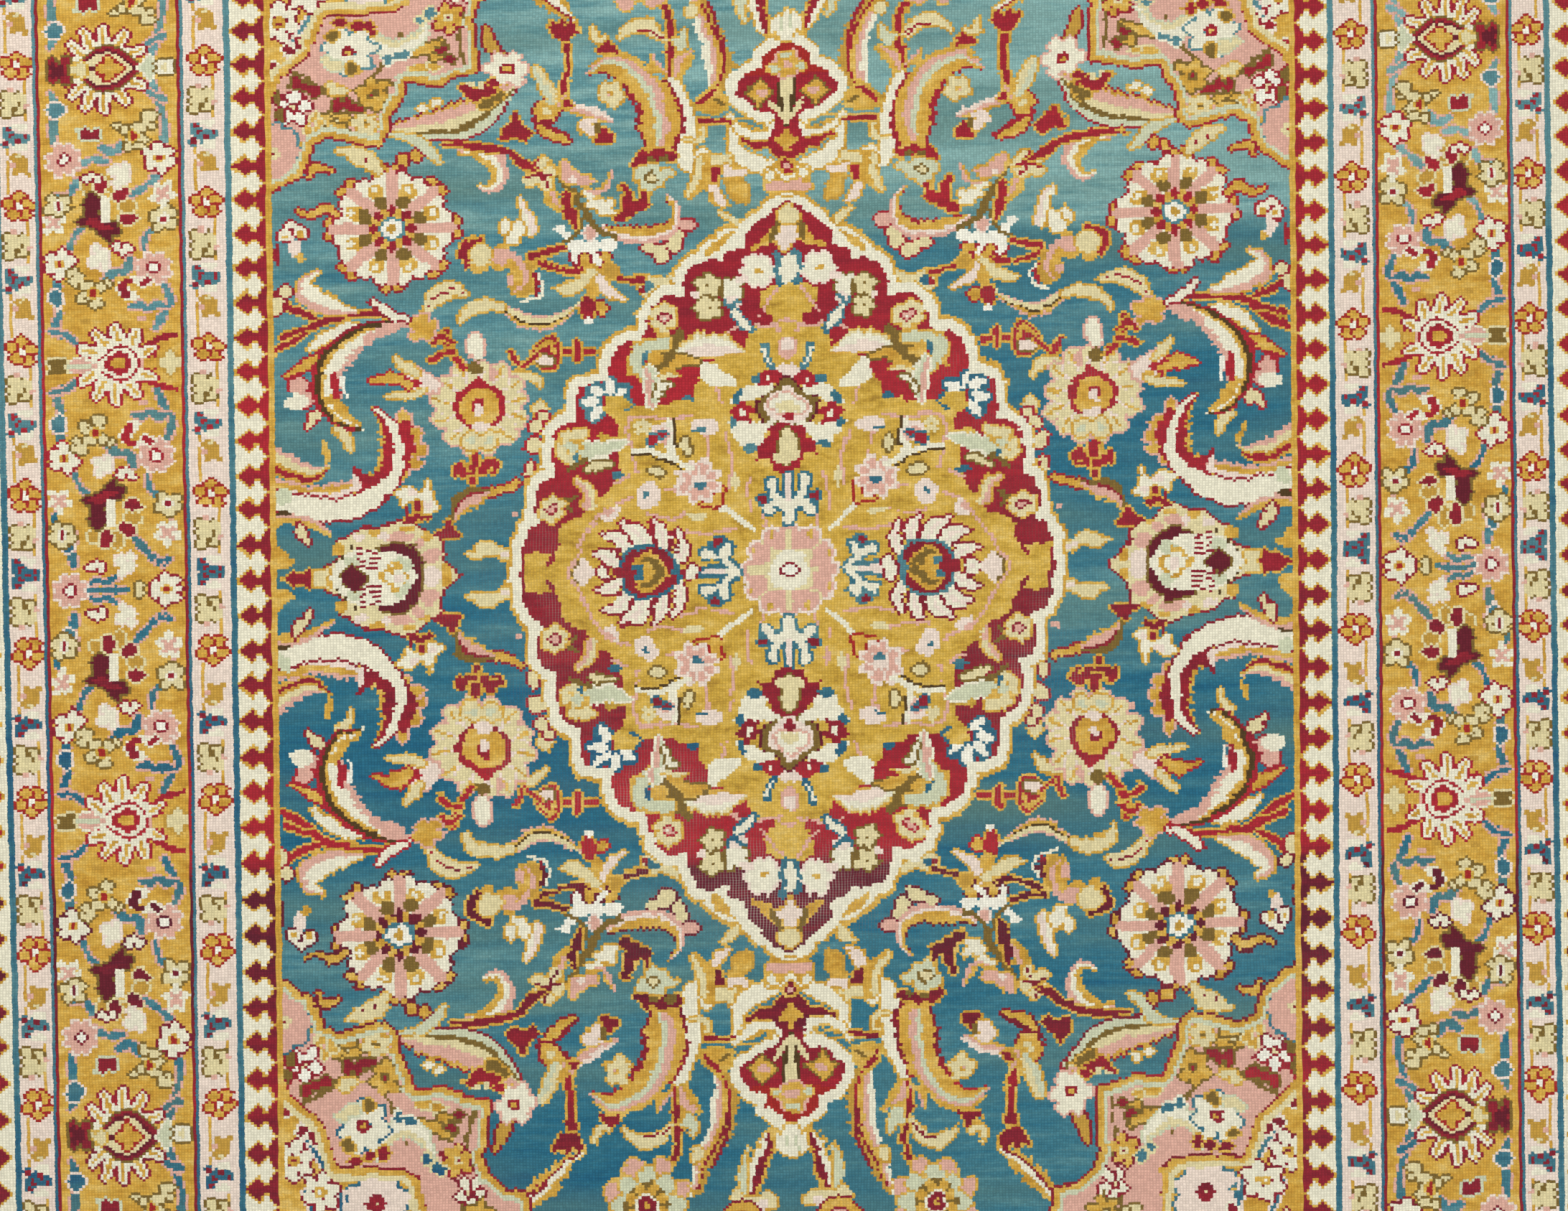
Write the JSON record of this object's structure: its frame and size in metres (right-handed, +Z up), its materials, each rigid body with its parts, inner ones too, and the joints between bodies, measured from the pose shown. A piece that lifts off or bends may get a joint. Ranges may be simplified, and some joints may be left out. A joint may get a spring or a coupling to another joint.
{
  "type": "oriental rug",
  "caption": "Flat oblong hand-knotted wool rug with overcast side cords and plain woven end webs.",
  "frame": {"origin": "on the floor under the middle of the rug's outline", "axes": "+Y along the rug's length, +X across it, +Z up out of the pile"},
  "size_m": [1.788, 2.6804, 0.007],
  "materials": {
    "wool_pile": "low cut wool pile, matt, worn, knotted in about a dozen colours"
  },
  "bodies": {
    "root": {"rug": "wool_pile"}
  },
  "joints": []
}
